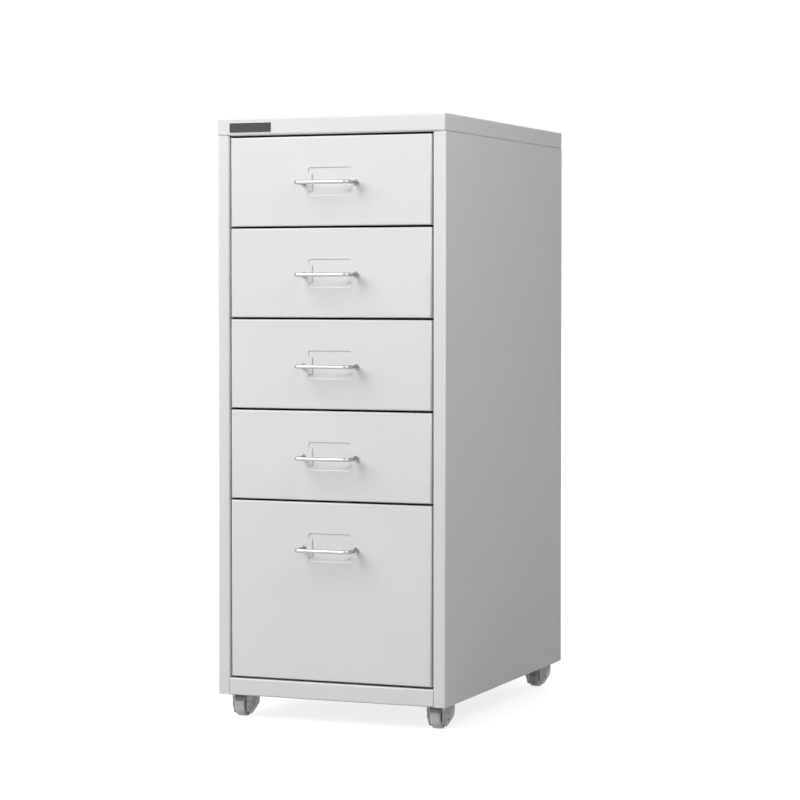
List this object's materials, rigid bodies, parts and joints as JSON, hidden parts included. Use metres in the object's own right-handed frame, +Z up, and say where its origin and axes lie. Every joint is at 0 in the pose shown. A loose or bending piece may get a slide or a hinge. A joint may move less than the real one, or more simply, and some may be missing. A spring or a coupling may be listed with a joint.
{
  "type": "drawer cabinet on casters",
  "caption": "Small metal storage cabinet of folded sheet with shallow drawers over a deep one, bent wire handles, pressed label holders and swivel casters.",
  "frame": {"origin": "on the floor, under the middle of the whole object, handles included", "axes": "+Z up, +X to the right seen from the front, drawers open towards -Y"},
  "size_m": [0.28, 0.4376, 0.69],
  "materials": {
    "carcass_paint": "fine-textured white powder coat, semi-matte",
    "drawer_paint": "fine-textured white powder coat, semi-matte",
    "handle_chrome": "bright chrome plate",
    "zinc": "dull bright zinc plate",
    "wheel_plastic": "light grey moulded plastic, satin",
    "clip_nylon": "natural nylon, matte"
  },
  "bodies": {
    "cabinet": {"top_cover": "carcass_paint", "left_side_panel": "carcass_paint", "right_side_panel": "carcass_paint", "back_panel": "carcass_paint", "bottom_panel": "carcass_paint", "front_caster_channel": "carcass_paint", "rear_caster_channel": "carcass_paint", "left_runner_1": "carcass_paint", "right_runner_1": "carcass_paint", "left_runner_2": "carcass_paint", "right_runner_2": "carcass_paint", "left_runner_3": "carcass_paint", "right_runner_3": "carcass_paint", "left_runner_4": "carcass_paint", "right_runner_4": "carcass_paint", "left_runner_5": "carcass_paint", "right_runner_5": "carcass_paint", "caster_front_left_stem": "zinc", "caster_front_right_stem": "zinc", "caster_rear_left_stem": "zinc", "caster_rear_right_stem": "zinc"},
    "drawer_1": {"drawer_1_front": "drawer_paint", "drawer_1_tray": "drawer_paint", "drawer_1_handle": "handle_chrome", "drawer_1_stop_clips": "clip_nylon"},
    "drawer_2": {"drawer_2_front": "drawer_paint", "drawer_2_tray": "drawer_paint", "drawer_2_handle": "handle_chrome", "drawer_2_stop_clips": "clip_nylon"},
    "drawer_3": {"drawer_3_front": "drawer_paint", "drawer_3_tray": "drawer_paint", "drawer_3_handle": "handle_chrome", "drawer_3_stop_clips": "clip_nylon"},
    "drawer_4": {"drawer_4_front": "drawer_paint", "drawer_4_tray": "drawer_paint", "drawer_4_handle": "handle_chrome", "drawer_4_stop_clips": "clip_nylon"},
    "drawer_5": {"drawer_5_front": "drawer_paint", "drawer_5_tray": "drawer_paint", "drawer_5_handle": "handle_chrome", "drawer_5_stop_clips": "clip_nylon"},
    "caster_front_left_swivel": {"caster_front_left_fork": "zinc"},
    "caster_front_left_roll": {"caster_front_left_wheel": "wheel_plastic"},
    "caster_front_right_swivel": {"caster_front_right_fork": "zinc"},
    "caster_front_right_roll": {"caster_front_right_wheel": "wheel_plastic"},
    "caster_rear_left_swivel": {"caster_rear_left_fork": "zinc"},
    "caster_rear_left_roll": {"caster_rear_left_wheel": "wheel_plastic"},
    "caster_rear_right_swivel": {"caster_rear_right_fork": "zinc"},
    "caster_rear_right_roll": {"caster_rear_right_wheel": "wheel_plastic"}
  },
  "joints": [
    {"name": "drawer_1_slide", "type": "slide", "parent": "cabinet", "child": "drawer_1", "axis": [0, -1, 0], "range_m": [0, 0.32]},
    {"name": "drawer_2_slide", "type": "slide", "parent": "cabinet", "child": "drawer_2", "axis": [0, -1, 0], "range_m": [0, 0.32]},
    {"name": "drawer_3_slide", "type": "slide", "parent": "cabinet", "child": "drawer_3", "axis": [0, -1, 0], "range_m": [0, 0.32]},
    {"name": "drawer_4_slide", "type": "slide", "parent": "cabinet", "child": "drawer_4", "axis": [0, -1, 0], "range_m": [0, 0.32]},
    {"name": "drawer_5_slide", "type": "slide", "parent": "cabinet", "child": "drawer_5", "axis": [0, -1, 0], "range_m": [0, 0.32]},
    {"name": "caster_front_left_swivel_turn", "type": "hinge", "parent": "cabinet", "child": "caster_front_left_swivel", "pos_m": [-0.121, -0.15625, 0.0325], "axis": [0, 0, 1], "continuous": true},
    {"name": "caster_front_left_wheel_spin", "type": "hinge", "parent": "caster_front_left_swivel", "child": "caster_front_left_roll", "pos_m": [-0.121, -0.16225, 0.013], "axis": [1, 0, 0], "continuous": true},
    {"name": "caster_front_right_swivel_turn", "type": "hinge", "parent": "cabinet", "child": "caster_front_right_swivel", "pos_m": [0.121, -0.15625, 0.0325], "axis": [0, 0, 1], "continuous": true},
    {"name": "caster_front_right_wheel_spin", "type": "hinge", "parent": "caster_front_right_swivel", "child": "caster_front_right_roll", "pos_m": [0.121, -0.16225, 0.013], "axis": [1, 0, 0], "continuous": true},
    {"name": "caster_rear_left_swivel_turn", "type": "hinge", "parent": "cabinet", "child": "caster_rear_left_swivel", "pos_m": [-0.121, 0.18375, 0.0325], "axis": [0, 0, 1], "continuous": true},
    {"name": "caster_rear_left_wheel_spin", "type": "hinge", "parent": "caster_rear_left_swivel", "child": "caster_rear_left_roll", "pos_m": [-0.121, 0.17775, 0.013], "axis": [1, 0, 0], "continuous": true},
    {"name": "caster_rear_right_swivel_turn", "type": "hinge", "parent": "cabinet", "child": "caster_rear_right_swivel", "pos_m": [0.121, 0.18375, 0.0325], "axis": [0, 0, 1], "continuous": true},
    {"name": "caster_rear_right_wheel_spin", "type": "hinge", "parent": "caster_rear_right_swivel", "child": "caster_rear_right_roll", "pos_m": [0.121, 0.17775, 0.013], "axis": [1, 0, 0], "continuous": true}
  ]
}
